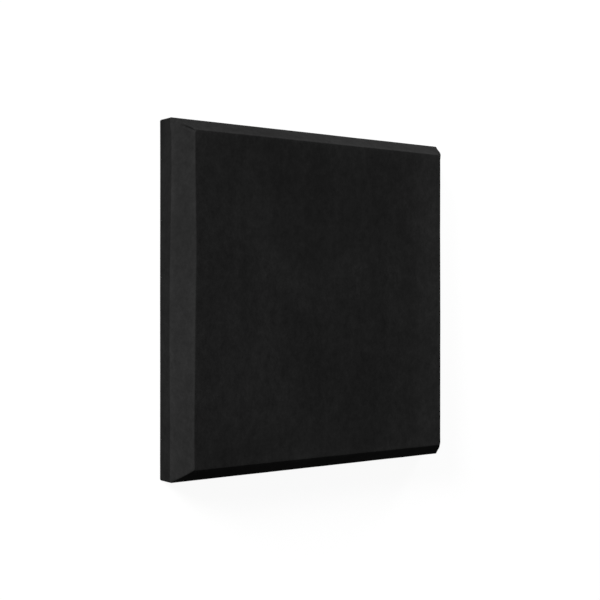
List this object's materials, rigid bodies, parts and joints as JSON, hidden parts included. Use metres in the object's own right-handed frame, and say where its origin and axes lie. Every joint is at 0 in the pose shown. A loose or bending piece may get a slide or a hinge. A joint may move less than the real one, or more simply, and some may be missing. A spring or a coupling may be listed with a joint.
{
  "type": "fabric acoustic wall panel",
  "caption": "Square sound-absorbing wall panel: a stiff mineral fibre board with mitred bevels round its face, wrapped in black brushed fabric that is hemmed onto the back.",
  "frame": {"origin": "middle of the back, on the plane of the fabric hem, which is the plane of the wall", "axes": "+Z out of the wall, from the back to the face; +Y up the wall; +X to the right for someone who looks at the face"},
  "size_m": [0.6, 0.6, 0.072],
  "materials": {
    "mineral_fibre": "matt pressed glass wool board, a fibrous felt with short strands lying in its face",
    "brushed_fabric": "matt black brushed fabric with a short nap, like suede, drawn tight"
  },
  "bodies": {
    "root": {"core_board": "mineral_fibre", "fabric_cover": "brushed_fabric"}
  },
  "joints": []
}
